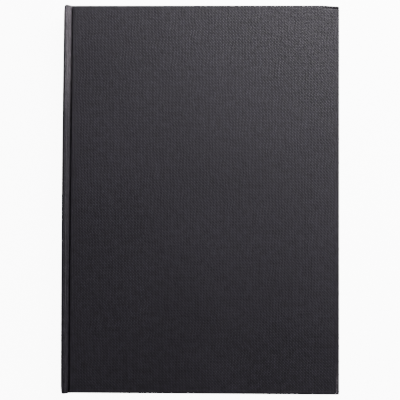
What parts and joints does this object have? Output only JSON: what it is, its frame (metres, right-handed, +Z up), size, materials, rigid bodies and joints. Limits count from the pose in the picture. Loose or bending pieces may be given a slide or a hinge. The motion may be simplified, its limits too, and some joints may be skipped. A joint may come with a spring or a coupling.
{
  "type": "glue-bound hardcover notebook",
  "caption": "Closed A4 hardcover notebook: glued leaf block in a cloth-covered case with grooved joints; both covers open and the leaves turn with them.",
  "frame": {"origin": "under the middle of the closed notebook, on the surface that it lies on", "axes": "+X from the spine to the fore edge, +Y from tail to head along the spine, +Z up through the front cover"},
  "size_m": [0.216, 0.3042, 0.0167],
  "materials": {
    "cover_cloth": "satin",
    "greyboard": "matte",
    "leaf_paper": "matte",
    "end_paper": "matte",
    "gauze": "matte",
    "kraft_paper": "matte",
    "binding_glue": "satin"
  },
  "bodies": {
    "binding": {"spine_board": "greyboard", "spine_cloth": "cover_cloth", "spine_liner": "kraft_paper", "spine_gauze": "gauze", "spine_glue": "binding_glue", "bound_leaf_edges": "leaf_paper", "front_joint_cloth": "cover_cloth", "back_joint_cloth": "cover_cloth", "front_endpaper_fold": "end_paper", "back_endpaper_fold": "end_paper"},
    "front_cover": {"front_board": "greyboard", "front_cover_cloth": "cover_cloth", "front_gauze_wing": "gauze", "front_pastedown": "end_paper"},
    "back_cover": {"back_board": "greyboard", "back_cover_cloth": "cover_cloth", "back_gauze_wing": "gauze", "back_pastedown": "end_paper"},
    "front_flyleaf": {"front_flyleaf": "end_paper"},
    "back_flyleaf": {"back_flyleaf": "end_paper"},
    "leaves_01": {"leaf_packet_01": "leaf_paper"},
    "leaves_02": {"leaf_packet_02": "leaf_paper"},
    "leaves_03": {"leaf_packet_03": "leaf_paper"},
    "leaves_04": {"leaf_packet_04": "leaf_paper"},
    "leaves_05": {"leaf_packet_05": "leaf_paper"},
    "leaves_06": {"leaf_packet_06": "leaf_paper"},
    "leaves_07": {"leaf_packet_07": "leaf_paper"},
    "leaves_08": {"leaf_packet_08": "leaf_paper"},
    "leaves_09": {"leaf_packet_09": "leaf_paper"},
    "leaves_10": {"leaf_packet_10": "leaf_paper"},
    "leaves_11": {"leaf_packet_11": "leaf_paper"},
    "leaves_12": {"leaf_packet_12": "leaf_paper"},
    "leaves_13": {"leaf_packet_13": "leaf_paper"},
    "leaves_14": {"leaf_packet_14": "leaf_paper"},
    "leaves_15": {"leaf_packet_15": "leaf_paper"},
    "leaves_16": {"leaf_packet_16": "leaf_paper"}
  },
  "joints": [
    {"name": "front_cover_hinge", "type": "hinge", "parent": "binding", "child": "front_cover", "pos_m": [-0.1015, 0, 0.01687], "axis": [0, -1, 0], "range_deg": [0, 175]},
    {"name": "back_cover_hinge", "type": "hinge", "parent": "binding", "child": "back_cover", "pos_m": [-0.1015, 0, -0.00015], "axis": [0, 1, 0], "range_deg": [0, 175]},
    {"name": "front_flyleaf_turn", "type": "hinge", "parent": "binding", "child": "front_flyleaf", "pos_m": [-0.1015, 0, 0.01687], "axis": [0, -1, 0], "range_deg": [0, 173]},
    {"name": "leaves_01_turn", "type": "hinge", "parent": "binding", "child": "leaves_01", "pos_m": [-0.1015, 0, 0.01687], "axis": [0, -1, 0], "range_deg": [0, 171]},
    {"name": "leaves_02_turn", "type": "hinge", "parent": "binding", "child": "leaves_02", "pos_m": [-0.1015, 0, 0.01687], "axis": [0, -1, 0], "range_deg": [0, 170]},
    {"name": "leaves_03_turn", "type": "hinge", "parent": "binding", "child": "leaves_03", "pos_m": [-0.1015, 0, 0.01687], "axis": [0, -1, 0], "range_deg": [0, 169]},
    {"name": "leaves_04_turn", "type": "hinge", "parent": "binding", "child": "leaves_04", "pos_m": [-0.1015, 0, 0.01687], "axis": [0, -1, 0], "range_deg": [0, 167]},
    {"name": "leaves_05_turn", "type": "hinge", "parent": "binding", "child": "leaves_05", "pos_m": [-0.1015, 0, 0.01687], "axis": [0, -1, 0], "range_deg": [0, 166]},
    {"name": "leaves_06_turn", "type": "hinge", "parent": "binding", "child": "leaves_06", "pos_m": [-0.1015, 0, 0.01687], "axis": [0, -1, 0], "range_deg": [0, 165]},
    {"name": "leaves_07_turn", "type": "hinge", "parent": "binding", "child": "leaves_07", "pos_m": [-0.1015, 0, 0.01687], "axis": [0, -1, 0], "range_deg": [0, 164]},
    {"name": "leaves_08_turn", "type": "hinge", "parent": "binding", "child": "leaves_08", "pos_m": [-0.1015, 0, 0.01687], "axis": [0, -1, 0], "range_deg": [0, 163]},
    {"name": "leaves_09_turn", "type": "hinge", "parent": "binding", "child": "leaves_09", "pos_m": [-0.1015, 0, -0.00015], "axis": [0, 1, 0], "range_deg": [0, 163]},
    {"name": "leaves_10_turn", "type": "hinge", "parent": "binding", "child": "leaves_10", "pos_m": [-0.1015, 0, -0.00015], "axis": [0, 1, 0], "range_deg": [0, 164]},
    {"name": "leaves_11_turn", "type": "hinge", "parent": "binding", "child": "leaves_11", "pos_m": [-0.1015, 0, -0.00015], "axis": [0, 1, 0], "range_deg": [0, 165]},
    {"name": "leaves_12_turn", "type": "hinge", "parent": "binding", "child": "leaves_12", "pos_m": [-0.1015, 0, -0.00015], "axis": [0, 1, 0], "range_deg": [0, 166]},
    {"name": "leaves_13_turn", "type": "hinge", "parent": "binding", "child": "leaves_13", "pos_m": [-0.1015, 0, -0.00015], "axis": [0, 1, 0], "range_deg": [0, 167]},
    {"name": "leaves_14_turn", "type": "hinge", "parent": "binding", "child": "leaves_14", "pos_m": [-0.1015, 0, -0.00015], "axis": [0, 1, 0], "range_deg": [0, 169]},
    {"name": "leaves_15_turn", "type": "hinge", "parent": "binding", "child": "leaves_15", "pos_m": [-0.1015, 0, -0.00015], "axis": [0, 1, 0], "range_deg": [0, 170]},
    {"name": "leaves_16_turn", "type": "hinge", "parent": "binding", "child": "leaves_16", "pos_m": [-0.1015, 0, -0.00015], "axis": [0, 1, 0], "range_deg": [0, 171]},
    {"name": "back_flyleaf_turn", "type": "hinge", "parent": "binding", "child": "back_flyleaf", "pos_m": [-0.1015, 0, -0.00015], "axis": [0, 1, 0], "range_deg": [0, 173]}
  ],
  "couplings": [
    {"joint": "front_flyleaf_turn", "follows": "front_cover_hinge", "ratio": 0.985},
    {"joint": "leaves_01_turn", "follows": "front_cover_hinge", "ratio": 0.975},
    {"joint": "leaves_02_turn", "follows": "front_cover_hinge", "ratio": 0.968},
    {"joint": "leaves_03_turn", "follows": "front_cover_hinge", "ratio": 0.961},
    {"joint": "leaves_04_turn", "follows": "front_cover_hinge", "ratio": 0.954},
    {"joint": "leaves_05_turn", "follows": "front_cover_hinge", "ratio": 0.947},
    {"joint": "leaves_06_turn", "follows": "front_cover_hinge", "ratio": 0.94},
    {"joint": "leaves_07_turn", "follows": "front_cover_hinge", "ratio": 0.933},
    {"joint": "leaves_08_turn", "follows": "front_cover_hinge", "ratio": 0.926},
    {"joint": "leaves_09_turn", "follows": "back_cover_hinge", "ratio": 0.926},
    {"joint": "leaves_10_turn", "follows": "back_cover_hinge", "ratio": 0.933},
    {"joint": "leaves_11_turn", "follows": "back_cover_hinge", "ratio": 0.94},
    {"joint": "leaves_12_turn", "follows": "back_cover_hinge", "ratio": 0.947},
    {"joint": "leaves_13_turn", "follows": "back_cover_hinge", "ratio": 0.954},
    {"joint": "leaves_14_turn", "follows": "back_cover_hinge", "ratio": 0.961},
    {"joint": "leaves_15_turn", "follows": "back_cover_hinge", "ratio": 0.968},
    {"joint": "leaves_16_turn", "follows": "back_cover_hinge", "ratio": 0.975},
    {"joint": "back_flyleaf_turn", "follows": "back_cover_hinge", "ratio": 0.985}
  ]
}
